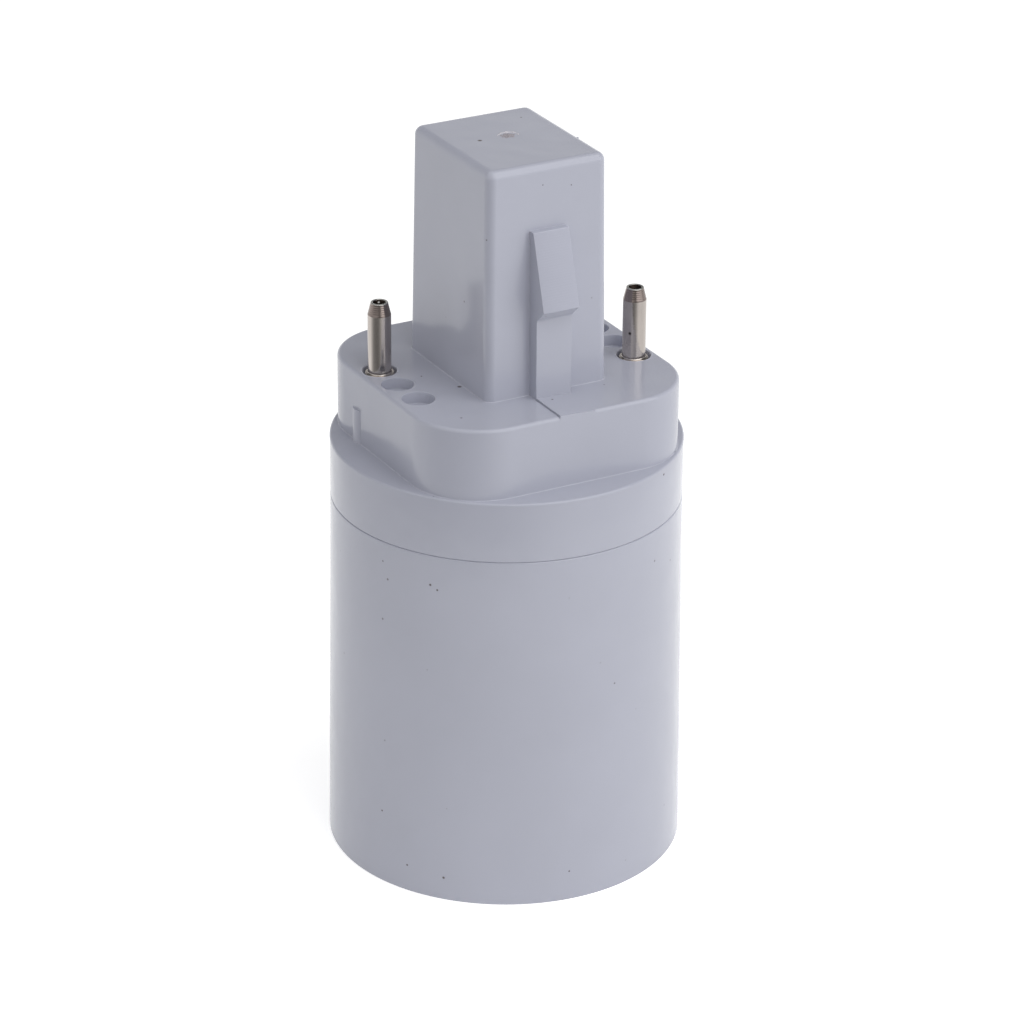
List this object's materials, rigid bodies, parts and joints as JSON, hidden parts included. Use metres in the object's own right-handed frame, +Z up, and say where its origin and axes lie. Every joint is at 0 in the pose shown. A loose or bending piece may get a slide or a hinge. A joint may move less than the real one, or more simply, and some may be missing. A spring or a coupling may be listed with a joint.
{
  "type": "lamp socket adapter",
  "caption": "Adapter with a plug cap of contact pins and a square key post, and an open socket below for a screw lamp cap.",
  "frame": {"origin": "centre of the socket's rim, on the surface that it stands on", "axes": "+Z up along the socket's axis to the top of the key post, +X towards the right-hand pin along the ribbed face"},
  "size_m": [0.0348, 0.0348, 0.072],
  "materials": {
    "body_plastic": "pale blue-grey moulding, satin gloss",
    "cap_plastic": "pale blue-grey moulding, satin gloss",
    "carrier_plastic": "off-white heat-resistant moulding",
    "shell_metal": "nickel-plated drawn shell",
    "spring_brass": "bare spring bronze strip",
    "pin_metal": "nickel-plated turned pin",
    "rivet_brass": "headed brass rivet",
    "tag_brass": "tinned brass tag",
    "copper": "tinned copper wire",
    "solder": "soft solder, slightly dull"
  },
  "bodies": {
    "adapter": {"socket_housing": "body_plastic", "base_cap": "cap_plastic", "contact_carrier": "carrier_plastic", "thread_sleeve": "shell_metal", "contact_pin_left": "pin_metal", "contact_pin_right": "pin_metal", "pin_solder_left": "solder", "pin_solder_right": "solder", "centre_rivet": "rivet_brass", "sleeve_rivet_tag": "rivet_brass", "sleeve_rivet_back": "rivet_brass", "sleeve_rivet_front": "rivet_brass", "centre_tag": "tag_brass", "sleeve_tag": "tag_brass", "lead_centre": "copper", "lead_sleeve": "copper", "centre_tag_solder": "solder", "sleeve_tag_solder": "solder"},
    "tongue": {"centre_contact": "spring_brass"}
  },
  "joints": [
    {"name": "contact_spring", "type": "hinge", "parent": "adapter", "child": "tongue", "pos_m": [0.00664, -0.00222, 0.02835], "axis": [0.3174, 0.9483, 0], "range_deg": [0, 8], "stiffness_Nm_per_rad": 0.2}
  ]
}
